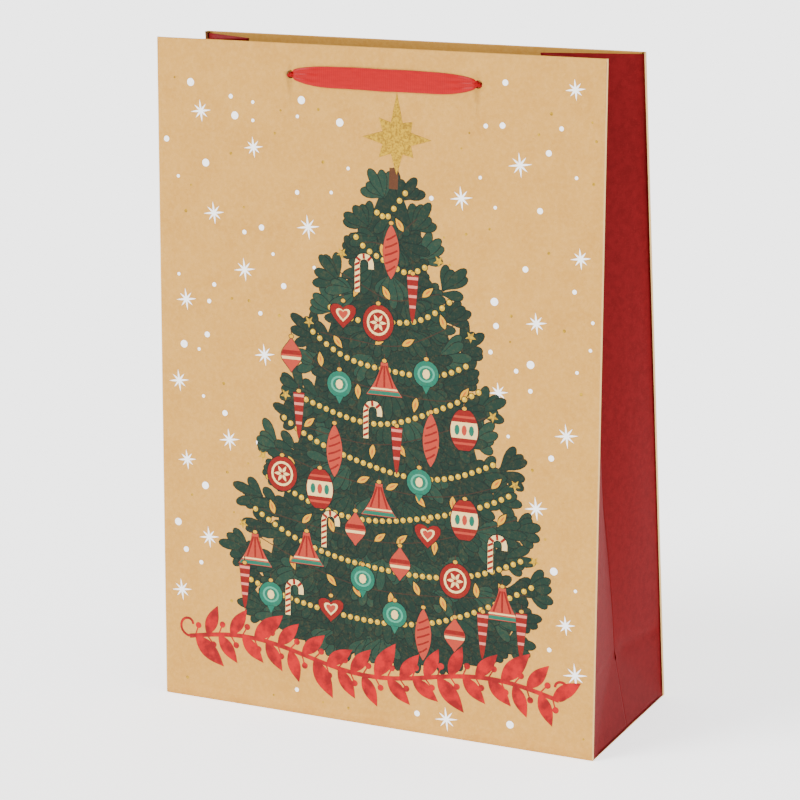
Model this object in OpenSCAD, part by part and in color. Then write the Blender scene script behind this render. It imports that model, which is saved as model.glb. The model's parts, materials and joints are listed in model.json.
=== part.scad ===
// Paper gift bag with ribbon handles, standing on its base with its mouth half open.
// X runs to the right, Y to the back, Z up; the origin is the middle of the base's underside.
// The bag is one folded sheet of paper: every facet between two folds is a part of its own.

/* [Bag] */
// Width of the front and back panels
bag_w = 350; // [320:1:380]
// Height of the panels, measured up the paper
bag_h = 500; // [470:1:530]
// Depth of the base, from front to back
bag_d = 150; // [140:1:160]
// Depth of the mouth at rest
mouth_d = 75.5; // [70:0.5:90]
// Backward lean of the front panel at rest, in degrees
front_lean = 1.56; // [0.5:0.01:2.5]

/* [Side gussets] */
// Height of the point where the base folds meet the middle crease
fold_h = 60; // [50:1:70]
// How far that point stands in from the side edges
fold_in = 12; // [8:1:16]
// Place of that point from front to back
fold_y = -4; // [-8:1:2]
// How far the middle crease stands in from the side edges at the mouth
crease_in = 60; // [52:1:64]
// Place of the middle crease at the mouth, from front to back
crease_y = -33; // [-36:1:-28]
// Gap between the two halves of a gusset at the crease
crease_gap = 1.6; // [1:0.1:2.4]

/* [Paper and card] */
// Thickness of the bag's paper
paper_t = 0.4; // [0.3:0.05:0.5]
// Thickness of the strips inside the mouth
strip_t = 0.6; // [0.4:0.05:0.8]
// Thickness of the card in the base
base_t = 1.2; // [0.8:0.1:1.6]
// Depth of the paper turned in at the mouth
hem_h = 38; // [30:1:45]
// Reach of the front and back base flaps past the middle
flap_lap = 15; // [10:1:25]
// Reach of the side base flaps
side_flap = 60; // [45:1:70]

/* [Ribbon handles] */
// Distance between the two holes of a handle
hole_gap = 146; // [120:1:170]
// Sideways place of the handle on its panel
handle_shift = 7; // [-10:1:10]
// Distance of the holes below the top edge
hole_drop = 22; // [18:1:24]
// Radius of the holes
hole_r = 3; // [2.5:0.1:3.5]
// Width of the ribbon
ribbon_w = 15.6; // [12:0.1:20]
// Thickness of the ribbon
ribbon_t = 0.45; // [0.3:0.05:0.6]
// Length of ribbon from the hole to the knot inside
leg_l = 82; // [78:1:110]

/* [Hidden] */
$fn = 48;

front = 1; // the panel at -Y
back = -1; // the panel at +Y
left = -1;
right = 1;

kraft = "#DDBD86";
red_paper = "#B32F2A";
grey_card = "#A79C8C";
ribbon_red = "#E8061C";

// The back panel takes the rest of the narrowing from base to mouth.
back_lean = asin((bag_d - mouth_d - bag_h * sin(front_lean)) / bag_h);
function lean(panel) = panel == front ? front_lean : back_lean;

glue = 0.03; // film between glued layers
fold_gap = 0.45; // free play at a fold that turns
hem_y = paper_t + strip_t + 2 * glue; // inner face of a panel's top strip
stack_y = hem_y + paper_t; // inner face of a panel's turned-in paper
hem_inset = 9; // a panel's hem stops this far short of the side folds
foot = 0.1; // the panels stop this far above the base's underside
strip_inset = 15; // the top strips stop short of the side folds
base_inset = 0.5; // the base flaps lie inside the panels
card_inset = 3;
lap_w = 20; // width of the glued lap at the side seam
lap_inset = 2.5; // and how far it lies in from the side fold
knot_r = 3.1; // middle radius of the knot's turn
knot_cord = 2.3; // radius of the bunched ribbon in the knot
knot_y = stack_y + knot_r + knot_cord + 1.2; // the knot hangs this far inside the panel's face
neck_r = 2.2; // the ribbon is bunched to this radius in its hole
hole_z = bag_h - hole_drop;

// ---- places -------------------------------------------------------------------------------

// A panel's own frame: x across as seen from outside, y inward, z up the paper.
module on_panel(panel) {
    rotate([0, 0, panel == front ? 0 : 180])
        translate([0, -bag_d / 2, 0])
            rotate([-lean(panel), 0, 0])
                children();
}

module at_hole(side) {
    translate([handle_shift + side * hole_gap / 2, 0, hole_z]) children();
}

// A bore through every layer at both holes of a handle.
module handle_holes() {
    for (side = [left, right])
        at_hole(side)
            rotate([-90, 0, 0])
                translate([0, 0, -1])
                    cylinder(r = hole_r, h = stack_y + 2);
}

// ---- base ---------------------------------------------------------------------------------

flap_edge = bag_d / 2 - base_inset;
flap_step = -5; // where the front flap climbs onto the back flap

module base_front_flap() {
    color(kraft)
        translate([bag_w / 2 - base_inset, 0, 0])
            rotate([90, 0, -90])
                linear_extrude(bag_w - 2 * base_inset)
                    polygon([
                        [flap_edge, 0], [-flap_step, 0], [-flap_step, paper_t + glue],
                        [-flap_lap, paper_t + glue], [-flap_lap, 2 * paper_t + glue],
                        [-flap_step + 1, 2 * paper_t + glue], [-flap_step + 1, paper_t], [flap_edge, paper_t]
                    ]);
}

module base_back_flap() {
    color(kraft)
        translate([-bag_w / 2 + base_inset, flap_step + glue, 0])
            cube([bag_w - 2 * base_inset, flap_edge - flap_step - glue, paper_t]);
}

side_flap_z = 2 * paper_t + 2 * glue;

module base_side_flap(side) {
    taper = 12;
    color(red_paper)
        translate([side * (bag_w / 2 - base_inset), 0, side_flap_z])
            linear_extrude(paper_t)
                polygon([
                    [0, -flap_edge + 1], [0, flap_edge - 1],
                    [-side * side_flap, flap_edge - taper], [-side * side_flap, -flap_edge + taper]
                ]);
}

module base_card() {
    color(grey_card)
        translate([-bag_w / 2 + card_inset, -bag_d / 2 + card_inset, side_flap_z + paper_t + glue])
            cube([bag_w - 2 * card_inset, bag_d - 2 * card_inset, base_t]);
}

// The low triangle of a gusset stands up from the base, tipped in by the folds beside it.
tri_tip = atan(fold_in / fold_h);
tri_z = side_flap_z; // it rises from the side flap's fold
tri_half = bag_d / 2 - 2;

module base_triangle(side) {
    color(red_paper)
        mirror([side == left ? 1 : 0, 0, 0])
            translate([bag_w / 2 - paper_t, 0, tri_z])
                rotate([0, -tri_tip, 0])
                    rotate([90, 0, 90])
                        linear_extrude(paper_t)
                            polygon([[-tri_half, 0], [tri_half, 0], [fold_y, (fold_h - tri_z) / cos(tri_tip)]]);
}

// ---- panels -------------------------------------------------------------------------------

module panel(which) {
    color(kraft)
        on_panel(which)
            difference() {
                translate([-bag_w / 2, 0, foot]) cube([bag_w, paper_t, bag_h - foot]);
                handle_holes();
            }
}

// The paper folded over the top edge and glued down inside.
module hem(which) {
    hem_w = bag_w - 2 * hem_inset;
    color(kraft)
        on_panel(which)
            difference() {
                union() {
                    translate([-hem_w / 2, hem_y, bag_h - hem_h]) cube([hem_w, paper_t, hem_h]);
                    translate([-hem_w / 2, paper_t + glue, bag_h - paper_t])
                        cube([hem_w, stack_y - paper_t - glue, paper_t]);
                }
                handle_holes();
            }
}

module top_card(which) {
    card_w = bag_w - 2 * strip_inset;
    card_h = hem_h - 3;
    color(grey_card)
        on_panel(which)
            difference() {
                translate([-card_w / 2, paper_t + glue, bag_h - card_h - paper_t - glue])
                    cube([card_w, strip_t, card_h]);
                handle_holes();
            }
}

// Where the sheet's two ends are glued together, inside the back panel's edge.
module side_seam_lap() {
    color(red_paper)
        on_panel(back)
            translate([-bag_w / 2 + lap_inset, paper_t + glue, side_flap_z + 1])
                cube([lap_w, paper_t, bag_h - hem_h - 2]);
}

// ---- gussets ------------------------------------------------------------------------------

function mix(a, b, share) = a + (b - a) * share;

edge_in = 0.6; // the gusset starts this far in from the panel's side edge
edge_y = paper_t + fold_gap; // and this far behind the panel's outer face
sheet_low = 8; // the folded corner is left open below this height
sheet_top = bag_h - 3.5;
low_gap = 1.4; // the sheets stand this far above the triangle's edges

// A point up the side fold of a panel, and one up the inner edge of the same half gusset.
function edge_at(panel, h) = [
    bag_w / 2 - edge_in,
    -panel * (bag_d / 2 - edge_y - h * sin(lean(panel))),
    h * cos(lean(panel))
];
function crease_low(panel) = [bag_w / 2 - fold_in, fold_y - panel * crease_gap / 2, fold_h + low_gap];
function crease_top(panel) = [bag_w / 2 - crease_in, crease_y - panel * crease_gap / 2, sheet_top];
function inner_at(panel, h) =
    h <= fold_h
        ? mix(edge_at(panel, low_gap), crease_low(panel), h / fold_h)
        : mix(crease_low(panel), crease_top(panel), (h - fold_h) / (sheet_top - fold_h));

// One cut through a half gusset: a thin four-sided ring, "lift" mm to its inner side.
function cut_at(panel, h, lift, far, near) =
    let (
        a = mix(edge_at(panel, h), inner_at(panel, h), near),
        b = mix(edge_at(panel, h), inner_at(panel, h), far),
        along = [b.x - a.x, b.y - a.y],
        turn = panel * [-along.y, along.x] / norm(along),
        n = [turn.x, turn.y, 0],
        low = n * (lift - paper_t / 2),
        high = n * (lift + paper_t / 2)
    )
    panel == front ? [a + high, b + high, b + low, a + low] : [a + low, b + low, b + high, a + high];

// A closed solid through a list of four-sided cuts, from the lowest up. The two broad faces are
// split along the same diagonal, so that a twisted sheet keeps its thickness.
module through_cuts(cuts) {
    n = len(cuts) - 1;
    polyhedron(
        points = [for (cut = cuts) for (p = cut) p],
        faces = concat(
            [[0, 1, 2, 3]],
            [for (i = [0:n - 1]) for (j = [0:3])
                let (p = 4 * i + j, q = 4 * i + (j + 1) % 4, r = q + 4, s = p + 4)
                each j == 2 ? [[p, s, q], [s, r, q]] : [[p, s, r], [p, r, q]]],
            [[4 * n + 3, 4 * n + 2, 4 * n + 1, 4 * n]]
        )
    );
}

hem_low = bag_h - hem_h;
levels = 6; // cuts up to the turned-in paper
hem_levels = 4; // and closer ones along it, where the sheet is most twisted
hem_heights = [for (i = [0:hem_levels]) mix(hem_low, sheet_top, i / hem_levels)];
sheet_heights = concat(
    [sheet_low, fold_h / 2],
    [for (i = [0:levels - 1]) mix(fold_h, hem_low, i / levels)],
    hem_heights
);

module gusset_half(side, panel) {
    color(red_paper)
        mirror([side == left ? 1 : 0, 0, 0])
            through_cuts([for (h = sheet_heights) cut_at(panel, h, 0, 1, 0)]);
}

// The gusset's turned-in paper, a little proud of the twisted sheet behind it.
module gusset_hem(side, panel) {
    lift = paper_t + 0.4;
    far_stop = 0.95;
    near_stop = 0.28;
    color(red_paper)
        mirror([side == left ? 1 : 0, 0, 0])
            through_cuts([for (h = hem_heights) cut_at(panel, h, lift, far_stop, near_stop)]);
}

// ---- ribbon handles -----------------------------------------------------------------------

// The run of ribbon outside: flat in the middle and gathered to a point at each hole.
module ribbon_run(which) {
    half = hole_gap / 2;
    wide = ribbon_w / 2;
    narrow = ribbon_w / 10;
    outline = [[half, -narrow], [half - 14, -wide * 0.85], [half - 26, -wide]];
    color(ribbon_red)
        on_panel(which)
            translate([handle_shift, -fold_gap, hole_z])
                rotate([90, 0, 0])
                    linear_extrude(ribbon_t)
                        polygon(concat(
                            [for (i = [2, 1, 0]) outline[i]],
                            [for (i = [0, 1, 2]) [outline[i].x, -outline[i].y]],
                            [for (i = [2, 1, 0]) -outline[i]],
                            [for (i = [0, 1, 2]) [-outline[i].x, outline[i].y]]
                        ));
}

// The stretch inside: bunched through the hole, then down to the knot.
module ribbon_leg(which, side) {
    leg_w = 6;
    leg_t = 1;
    color(ribbon_red)
        on_panel(which)
            at_hole(side) {
                rotate([-90, 0, 0])
                    translate([0, 0, -fold_gap + glue])
                        cylinder(r = neck_r, h = knot_y + fold_gap);
                translate([-leg_w / 2, knot_y - leg_t / 2, -leg_l])
                    cube([leg_w, leg_t, leg_l]);
            }
}

// An overhand knot that stops the ribbon inside, with a short tail.
module ribbon_knot(which, side) {
    tail_w = 9;
    tail_l = 18;
    tail_t = 0.9;
    color(ribbon_red)
        on_panel(which)
            at_hole(side)
                translate([0, knot_y, -leg_l - fold_gap - knot_r - knot_cord]) {
                    rotate([0, 90, 0]) rotate_extrude() translate([knot_r, 0]) circle(knot_cord);
                    rotate([35, 0, 0]) cylinder(r = knot_cord, h = 2 * knot_r, center = true);
                    translate([-tail_w / 2, -tail_t / 2, -tail_l - knot_r]) cube([tail_w, tail_t, tail_l]);
                }
}

// ---- the bag ------------------------------------------------------------------------------

base_front_flap();
base_back_flap();
base_side_flap(left);  // base_left_flap
base_side_flap(right);  // base_right_flap
base_card();
base_triangle(left);  // left_base_triangle
base_triangle(right);  // right_base_triangle
panel(front);  // front_panel
hem(front);  // front_hem
top_card(front);  // front_top_card
panel(back);  // back_panel
hem(back);  // back_hem
top_card(back);  // back_top_card
side_seam_lap();
gusset_half(left, front);  // left_gusset_front
gusset_hem(left, front);  // left_gusset_front_hem
gusset_half(left, back);  // left_gusset_back
gusset_hem(left, back);  // left_gusset_back_hem
gusset_half(right, front);  // right_gusset_front
gusset_hem(right, front);  // right_gusset_front_hem
gusset_half(right, back);  // right_gusset_back
gusset_hem(right, back);  // right_gusset_back_hem
ribbon_run(front);  // front_ribbon
ribbon_knot(front, left);  // front_knot_left
ribbon_knot(front, right);  // front_knot_right
ribbon_leg(front, left);  // front_leg_left
ribbon_leg(front, right);  // front_leg_right
ribbon_run(back);  // back_ribbon
ribbon_knot(back, left);  // back_knot_left
ribbon_knot(back, right);  // back_knot_right
ribbon_leg(back, left);  // back_leg_left
ribbon_leg(back, right);  // back_leg_right
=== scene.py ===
import json
import math
import random

import bmesh
import bpy
from mathutils import Matrix, Vector
from mathutils.geometry import delaunay_2d_cdt


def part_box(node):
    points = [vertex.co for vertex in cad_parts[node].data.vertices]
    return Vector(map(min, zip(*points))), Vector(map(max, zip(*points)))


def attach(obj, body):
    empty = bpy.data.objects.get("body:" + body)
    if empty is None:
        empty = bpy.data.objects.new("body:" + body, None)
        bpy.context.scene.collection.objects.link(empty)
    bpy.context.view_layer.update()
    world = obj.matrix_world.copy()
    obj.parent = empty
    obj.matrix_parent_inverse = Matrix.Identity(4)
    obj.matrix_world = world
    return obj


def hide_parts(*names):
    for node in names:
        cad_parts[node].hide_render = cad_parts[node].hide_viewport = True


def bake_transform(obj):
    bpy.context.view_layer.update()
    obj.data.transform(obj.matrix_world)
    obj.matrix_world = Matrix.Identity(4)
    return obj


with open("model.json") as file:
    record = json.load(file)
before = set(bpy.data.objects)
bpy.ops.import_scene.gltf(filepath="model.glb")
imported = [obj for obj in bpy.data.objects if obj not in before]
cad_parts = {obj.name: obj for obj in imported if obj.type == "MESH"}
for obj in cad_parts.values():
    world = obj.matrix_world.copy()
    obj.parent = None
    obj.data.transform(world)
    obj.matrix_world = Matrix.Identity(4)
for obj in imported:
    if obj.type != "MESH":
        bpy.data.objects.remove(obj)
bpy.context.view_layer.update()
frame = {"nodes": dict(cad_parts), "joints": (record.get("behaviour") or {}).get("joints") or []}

mm = 0.001

# Camera, floor and light

view = {"place": (0.8345, -1.790, 0.7305), "heading": 25.276, "pitch": -14.19, "roll": -0.418,
        "lens": 123.33, "sensor": 36, "seesTo": 200}
# the floor glows a little, and the sky is brighter in a band at the horizon, so that the two meet unseen
room = {"floor": 60, "floorColour": "#F6F6F6", "glow": 1.75,
        "sky": 1.1, "band": 3.4, "bandFrom": 0.01, "bandUp": 0.2,
        "key": 3.6, "keySoft": 28, "keyTurn": (52, 0, -42),
        "fill": 2.5, "fillSize": 0.7, "fillPlace": (1.3, -0.35, 0.25), "fillAt": (0.17, 0, 0.1)}
white = (1, 1, 1, 1)


def hexColour(text):  # sRGB hex to the linear values that shaders take
    parts = [int(text[i:i + 2], 16) / 255 for i in (1, 3, 5)]
    return tuple(p / 12.92 if p <= 0.04045 else ((p + 0.055) / 1.055) ** 2.4 for p in parts) + (1,)


def addObject(name, data):
    made = bpy.data.objects.new(name, data)
    bpy.context.scene.collection.objects.link(made)
    return made


def addNode(tree, kind, inputs=None, **settings):  # a socket as an input is linked, a plain value is set
    node = tree.nodes.new("ShaderNode" + kind)
    for name, value in settings.items():
        setattr(node, name, value)
    for name, value in (inputs or {}).items():
        if isinstance(value, bpy.types.NodeSocket):
            tree.links.new(value, node.inputs[name])
        else:
            node.inputs[name].default_value = value
    return node


def newMaterial(name):
    material = bpy.data.materials.new(name)
    material.use_nodes = True
    tree = material.node_tree
    return material, tree, tree.nodes["Principled BSDF"]


camera = addObject("camera", bpy.data.cameras.new("camera"))
camera.data.lens = view["lens"]
camera.data.sensor_width = view["sensor"]
camera.data.clip_end = view["seesTo"]
camera.matrix_world = (
    Matrix.Translation(view["place"])
    @ Matrix.Rotation(math.radians(view["heading"]), 4, "Z")
    @ Matrix.Rotation(math.radians(90 + view["pitch"]), 4, "X")
    @ Matrix.Rotation(math.radians(view["roll"]), 4, "Z")
)
bpy.context.scene.camera = camera

floorMesh = bmesh.new()
bmesh.ops.create_grid(floorMesh, x_segments=2, y_segments=2, size=room["floor"] / 2)
floor = addObject("floor", bpy.data.meshes.new("floor"))
floorMesh.to_mesh(floor.data)
floorMesh.free()
floorPaint, floorTree, floorShader = newMaterial("studioFloor")
floorShader.inputs["Base Color"].default_value = hexColour(room["floorColour"])
floorShader.inputs["Roughness"].default_value = 0.9
floorShader.inputs["Specular IOR Level"].default_value = 0.1
floorShader.inputs["Emission Color"].default_value = white
floorShader.inputs["Emission Strength"].default_value = room["glow"]
floor.data.materials.append(floorPaint)

world = bpy.data.worlds.new("studio")
bpy.context.scene.world = world
world.use_nodes = True
skyTree = world.node_tree
skyWay = addNode(skyTree, "TexCoord").outputs["Generated"]
upwards = addNode(skyTree, "SeparateXYZ", {"Vector": skyWay}).outputs["Z"]
skyStrength = addNode(skyTree, "MapRange", {
    "Value": upwards, "From Min": room["bandFrom"], "From Max": room["bandUp"],
    "To Min": room["band"], "To Max": room["sky"]}).outputs["Result"]
skyTree.links.new(skyStrength, skyTree.nodes["Background"].inputs["Strength"])
skyTree.nodes["Background"].inputs["Color"].default_value = white
key = addObject("keyLight", bpy.data.lights.new("keyLight", "SUN"))
key.data.energy = room["key"]
key.data.angle = math.radians(room["keySoft"])
key.rotation_euler = [math.radians(a) for a in room["keyTurn"]]
fill = addObject("fillLight", bpy.data.lights.new("fillLight", "AREA"))
fill.data.energy = room["fill"]
fill.data.size = room["fillSize"]
fill.location = room["fillPlace"]
fill.rotation_euler = (Vector(room["fillAt"]) - fill.location).to_track_quat("-Z", "Y").to_euler()
print("camera and room ready")

# The bag's measures, from the frame

joints = {j["name"]: j for j in frame["joints"]}
baseDepth = 2 * joints["back_panel_lean"]["pos_m"][1]
sideFold = {"front": "right_front_fold_turn", "back": "right_back_fold_turn"}
leans = {p: math.atan2(abs(joints[j]["axis"][1]), joints[j]["axis"][2]) for p, j in sideFold.items()}
panelLow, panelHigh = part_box("front_panel")
bagWidth = panelHigh.x - panelLow.x
bagHeight = panelHigh.z / math.cos(leans["front"])
ribbonLow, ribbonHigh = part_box("front_ribbon")
holeGap = ribbonHigh.x - ribbonLow.x
handleShift = (ribbonHigh.x + ribbonLow.x) / 2
ribbonWidth = ribbonHigh.z - ribbonLow.z
holeUp = (ribbonHigh.z + ribbonLow.z) / 2 / math.cos(leans["front"])


def panelPlace(which):  # x across as seen from outside, y inward, z up the paper
    turn = Matrix.Rotation(math.pi if which == "back" else 0, 4, "Z")
    return turn @ Matrix.Translation((0, -baseDepth / 2, 0)) @ Matrix.Rotation(-leans[which], 4, "X")


def outwardOf(which):
    return panelPlace(which).to_3x3() @ Vector((0, -1, 0))


def holeAt(side):  # a ribbon hole in the panel's own place: -1 is the left one, 1 the right one
    return Vector((handleShift + side * holeGap / 2, 0, holeUp))


def mix(a, b, share):
    return a + (b - a) * share


def smooth(t):
    t = min(max(t, 0), 1)
    return t * t * (3 - 2 * t)


def finishPiece(name, mesh, material, body=None, replaces=(), shade=True):
    data = bpy.data.meshes.new(name)
    mesh.to_mesh(data)
    mesh.free()
    for m in material if isinstance(material, list) else [material]:
        data.materials.append(m)
    if shade:
        data.shade_smooth()
    piece = addObject(name, data)
    if replaces:
        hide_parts(*replaces)
    if body:
        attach(piece, body)
    return piece


def giveThickness(mesh, thickMm):  # makes a sheet a closed wall, its faces outwards
    bmesh.ops.solidify(mesh, geom=mesh.faces[:], thickness=thickMm * mm)
    bmesh.ops.recalc_face_normals(mesh, faces=mesh.faces)


def makeSheet(acrossCuts, upCuts, shape):
    # a grid whose points go where shape(share across, share up) says; it gets a UV map of the two shares
    mesh = bmesh.new()
    uvs = mesh.loops.layers.uv.new("sheet")
    bmesh.ops.create_grid(mesh, x_segments=acrossCuts, y_segments=upCuts, size=0.5)
    for face in mesh.faces:
        for loop in face.loops:
            loop[uvs].uv = (loop.vert.co.x + 0.5, loop.vert.co.y + 0.5)
    for v in mesh.verts:
        v.co = shape(v.co.x + 0.5, v.co.y + 0.5)
    bmesh.ops.recalc_face_normals(mesh, faces=mesh.faces)
    return mesh


# Materials

kraft = {"colour": "#BE8B3C", "dark": "#AB762C", "pale": "#CC9D50", "foldHighlight": "#DDBC86",
         "cloudMm": 22, "mottleMm": 3.2, "fibreMm": 1.1, "foldWidthMm": 1.2, "foldFrom": 0.2,
         "grain": 0.35, "rough": 0.82, "gloss": 0.15}
redPrint = {"colour": "#6A1114", "deep": "#5A0C0E", "pale": "#771B1B", "mottleMm": 5, "grainMm": 0.9,
            "grain": 0.22, "rough": 0.62, "gloss": 0.04}
greyboard = {"colour": "#A89E8F", "dark": "#8B8172", "fleckMm": 1.4, "grain": 0.4, "rough": 0.9}
satin = {"colour": "#A00007", "deep": "#840004", "threadMm": 0.55, "threadRun": 6, "softScale": 9,
         "weaveMm": 0.08, "rough": 0.36, "gloss": 0.14, "sheenAlong": 0.6}
foil = {"gold": "#B38C06", "goldDeep": "#866204", "red": "#A20007", "redDeep": "#740004",
        "grainMm": 0.7, "dentMm": 0.12, "goldPatchMm": 1.6, "redPatchMm": 9,
        "metallic": 0.7, "goldRough": 0.34, "redRough": 0.3}
ink = {"grain": 0.3, "rough": 0.72, "gloss": 0.15, "wornShare": 0.14, "fibreShare": 0.16}
inkColours = {
    "pine": "#12291F", "pineDark": "#0F231B", "pineLight": "#183226", "pineEdge": "#091612",
    "trunk": "#4A2A18", "wire": "#2E2118", "bead": "#B48E14", "beadCore": "#D8B848",
    "bulb": "#BE8810", "bulbCore": "#B05A0C", "white": "#FFFFFF", "cream": "#D8B878",
    "coral": "#9C3424", "brick": "#720F0C", "rose": "#BE6C5E", "teal": "#125A47", "tealPale": "#3C8A70",
}


def noiseAt(tree, place, sizeMm, detail=3, rough=0.55):  # noise whose features are sizeMm across
    return addNode(tree, "TexNoise", {
        "Vector": place, "Scale": 1 / (sizeMm * mm), "Detail": detail, "Roughness": rough}).outputs["Fac"]


def span(tree, value, low, high, toLow=0.0, toHigh=1.0):  # a value between low and high becomes a share
    return addNode(tree, "MapRange", {
        "Value": value, "From Min": low, "From Max": high,
        "To Min": toLow, "To Max": toHigh}).outputs["Result"]


def blendColour(tree, share, a, b):
    return addNode(tree, "MixRGB", {"Fac": share, "Color1": a, "Color2": b}).outputs["Color"]


def paperGrain(tree, place, fineMm, depth):
    # the felt side of machine-made paper: short crossed fibres, drawn a little coarse so that they show
    fibres = []
    for stretch in ((1, 1, 3.5), (3.5, 1, 1)):
        turned = addNode(tree, "Mapping", {"Vector": place, "Scale": stretch}).outputs["Vector"]
        fibres.append(noiseAt(tree, turned, fineMm * 2))
    height = addNode(tree, "Math", {0: fibres[0], 1: fibres[1]}, operation="ADD").outputs[0]
    bump = addNode(tree, "Bump", {"Height": height, "Strength": depth, "Distance": 0.25 * mm})
    return height, bump.outputs["Normal"]


def setFinish(material, tree, shader, colour, normal, finish):
    tree.links.new(colour, shader.inputs["Base Color"])
    tree.links.new(normal, shader.inputs["Normal"])
    shader.inputs["Roughness"].default_value = finish["rough"]
    if "gloss" in finish:
        shader.inputs["Specular IOR Level"].default_value = finish["gloss"]
    return material


def makeKraft():
    # uncoated brown kraft, machine-made: warm and matt, with a cloudy mottle, pale and dark fibres
    # and a painted highlight along the side folds
    material, tree, shader = newMaterial("uncoatedKraftPaper")
    place = addNode(tree, "TexCoord").outputs["Object"]
    height, normal = paperGrain(tree, place, kraft["fibreMm"], kraft["grain"])
    clouds = span(tree, noiseAt(tree, place, kraft["cloudMm"], 4), 0.35, 0.65, 0, 0.35)
    colour = blendColour(tree, clouds, hexColour(kraft["colour"]), hexColour(kraft["dark"]))
    mottle = span(tree, noiseAt(tree, place, kraft["mottleMm"], 5, 0.7), 0.42, 0.7, 0, 0.5)
    colour = blendColour(tree, mottle, colour, hexColour(kraft["pale"]))
    fibres = span(tree, height, 1.12, 1.32, 0, 0.55)
    colour = blendColour(tree, fibres, colour, hexColour(kraft["dark"]))
    # painted highlight: the colour turns paler in the last foldWidthMm towards the panel's side folds
    sideways = addNode(tree, "SeparateXYZ", {"Vector": place}).outputs["X"]
    fromMiddle = addNode(tree, "Math", {0: sideways}, operation="ABSOLUTE").outputs[0]
    foldStart = bagWidth / 2 - kraft["foldWidthMm"] * mm
    edge = span(tree, fromMiddle, foldStart, bagWidth / 2 - kraft["foldFrom"] * mm, 0, 0.6)
    colour = blendColour(tree, edge, colour, hexColour(kraft["foldHighlight"]))
    return setFinish(material, tree, shader, colour, normal, kraft)


def makeRedPaper():
    # kraft paper printed solid red: even and only a little glossy, with the paper's grain showing through
    material, tree, shader = newMaterial("redPrintedPaper")
    place = addNode(tree, "TexCoord").outputs["Object"]
    height, normal = paperGrain(tree, place, redPrint["grainMm"], redPrint["grain"])
    mottle = span(tree, noiseAt(tree, place, redPrint["mottleMm"], 4), 0.35, 0.65, 0, 0.7)
    colour = blendColour(tree, mottle, hexColour(redPrint["colour"]), hexColour(redPrint["deep"]))
    colour = blendColour(tree, span(tree, height, 1.05, 1.35, 0, 0.5), colour, hexColour(redPrint["pale"]))
    return setFinish(material, tree, shader, colour, normal, redPrint)


def makeGreyboard():
    # unbleached greyboard: dull, soft and full of flecks from the recycled pulp
    material, tree, shader = newMaterial("greyboardCard")
    place = addNode(tree, "TexCoord").outputs["Object"]
    _, normal = paperGrain(tree, place, greyboard["fleckMm"], greyboard["grain"])
    flecks = span(tree, noiseAt(tree, place, greyboard["fleckMm"], 6, 0.75), 0.5, 0.68, 0, 0.8)
    colour = blendColour(tree, flecks, hexColour(greyboard["colour"]), hexColour(greyboard["dark"]))
    return setFinish(material, tree, shader, colour, normal, greyboard)


def makeSatin():
    # woven polyester satin: long floating threads give a bright band of sheen
    # a thread is 0.12 mm across, so the threads are drawn coarser
    material, tree, shader = newMaterial("satinRibbon")
    place = addNode(tree, "TexCoord").outputs["UV"]
    stretch = (satin["threadRun"], 1, 1)
    threads = addNode(tree, "Mapping", {"Vector": place, "Scale": stretch}).outputs["Vector"]
    count = ribbonWidth / (satin["threadMm"] * mm)
    weave = addNode(tree, "TexWave", {
        "Vector": threads, "Scale": count / 2, "Distortion": 1.2, "Detail": 1.5},
        wave_type="BANDS", bands_direction="Y").outputs["Fac"]
    soft = addNode(tree, "TexNoise", {
        "Vector": place, "Scale": satin["softScale"], "Detail": 3}).outputs["Fac"]
    fine = span(tree, weave, 0, 1, 0, 0.35)
    broad = span(tree, soft, 0.35, 0.7, 0, 0.4)
    shade = addNode(tree, "Math", {0: fine, 1: broad}, operation="ADD").outputs[0]
    colour = blendColour(tree, shade, hexColour(satin["colour"]), hexColour(satin["deep"]))
    bump = addNode(tree, "Bump", {"Height": weave, "Strength": 0.5, "Distance": satin["weaveMm"] * mm})
    shader.inputs["Anisotropic"].default_value = satin["sheenAlong"]
    return setFinish(material, tree, shader, colour, bump.outputs["Normal"], satin)


def makeInk(name, colour):
    # offset ink soaked into kraft: matt, and broken up a little where the paper's fibres stand out
    material, tree, shader = newMaterial("offsetInk_" + name)
    place = addNode(tree, "TexCoord").outputs["Object"]
    height, normal = paperGrain(tree, place, kraft["fibreMm"], ink["grain"])
    worn = span(tree, noiseAt(tree, place, kraft["mottleMm"], 5, 0.75), 0.5, 0.8, 0, ink["wornShare"])
    lighter = blendColour(tree, 0.5, hexColour(colour), hexColour(kraft["colour"]))
    mixed = blendColour(tree, worn, hexColour(colour), lighter)
    mixed = blendColour(tree, span(tree, height, 1.15, 1.4, 0, ink["fibreShare"]), mixed, lighter)
    return setFinish(material, tree, shader, mixed, normal, ink)


def makeFoil(name):
    # hot-stamped metal foil: a mirror-like film that takes up the paper's grain, with a painted sparkle: its
    # colour is painted lighter and darker in patches
    material, tree, shader = newMaterial(name + "StampingFoil")
    place = addNode(tree, "TexCoord").outputs["Object"]
    grain = noiseAt(tree, place, foil["grainMm"], 4, 0.7)
    # painted sparkle: the colour moves between the foil's two tones in patches
    patches = span(tree, noiseAt(tree, place, foil[name + "PatchMm"], 3), 0.4, 0.62)
    mixed = blendColour(tree, patches, hexColour(foil[name]), hexColour(foil[name + "Deep"]))
    bump = addNode(tree, "Bump", {"Height": grain, "Strength": 0.5, "Distance": foil["dentMm"] * mm})
    shader.inputs["Metallic"].default_value = foil["metallic"]
    return setFinish(material, tree, shader, mixed, bump.outputs["Normal"], {"rough": foil[name + "Rough"]})


kraftPaper = makeKraft()
redPaper = makeRedPaper()
greyCard = makeGreyboard()
redSatin = makeSatin()
goldFoil = makeFoil("gold")
redFoil = makeFoil("red")
print("materials ready")

# Paper panels with their turned-in tops

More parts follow.
